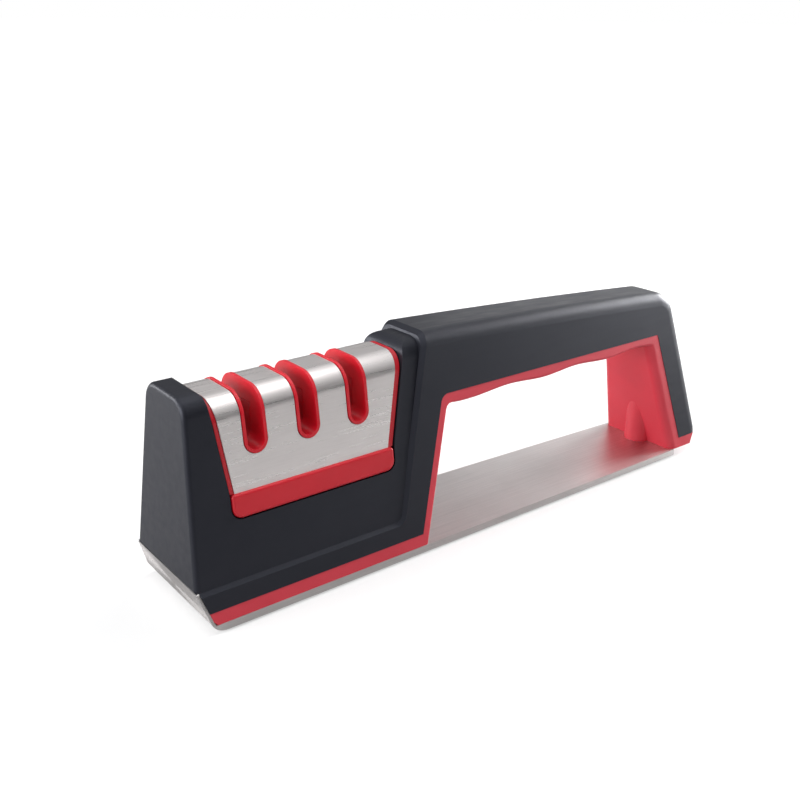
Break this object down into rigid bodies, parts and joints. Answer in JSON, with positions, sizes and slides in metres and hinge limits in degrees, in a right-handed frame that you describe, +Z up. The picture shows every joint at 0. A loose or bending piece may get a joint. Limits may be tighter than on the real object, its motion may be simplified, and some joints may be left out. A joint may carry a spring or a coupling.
{
  "type": "knife sharpener",
  "caption": "Hand-held pull-through knife sharpener: slotted sharpening cartridge in a head with a closed-loop handle on a flat base plate.",
  "frame": {"origin": "centre of the footprint, on the surface the sharpener stands on", "axes": "+X from the sharpening head to the heel of the handle, +Y across to the far side, +Z up"},
  "size_m": [0.2156, 0.042, 0.069],
  "materials": {
    "black_shell": "fine-textured black ABS, satin",
    "red_frame": "smooth red moulding, semi-gloss",
    "red_core": "smooth red moulding, semi-gloss",
    "base_steel": "stainless, brushed along the length",
    "brushed_cover": "stainless, brushed along the length",
    "grip_rubber": "matt rubber",
    "screw_steel": "zinc-plated steel",
    "holder_plastic": "deep red moulded nylon",
    "carbide": "ground tungsten carbide, bright",
    "diamond_rod": "steel rod with bonded diamond grit",
    "ceramic_rod": "unglazed white ceramic"
  },
  "bodies": {
    "body": {"base_plate": "base_steel", "inner_frame": "red_frame", "outer_shell": "black_shell", "front_grip_pad": "grip_rubber", "rear_grip_pad": "grip_rubber", "base_screws": "screw_steel", "shell_screws": "screw_steel"},
    "cartridge": {"slot_core": "red_core", "cartridge_cover": "brushed_cover", "cartridge_carriage": "red_core", "cartridge_screws": "screw_steel", "coarse_holder": "holder_plastic", "coarse_blade_left": "carbide", "coarse_blade_right": "carbide", "medium_holder": "holder_plastic", "medium_rod_left": "diamond_rod", "medium_rod_right": "diamond_rod", "fine_holder": "holder_plastic", "fine_rod_left": "ceramic_rod", "fine_rod_right": "ceramic_rod", "blade_clamp_screw": "screw_steel"}
  },
  "joints": [
    {"name": "cartridge_lift", "type": "slide", "parent": "body", "child": "cartridge", "axis": [0, 0, 1], "range_m": [0, 0.05]}
  ]
}
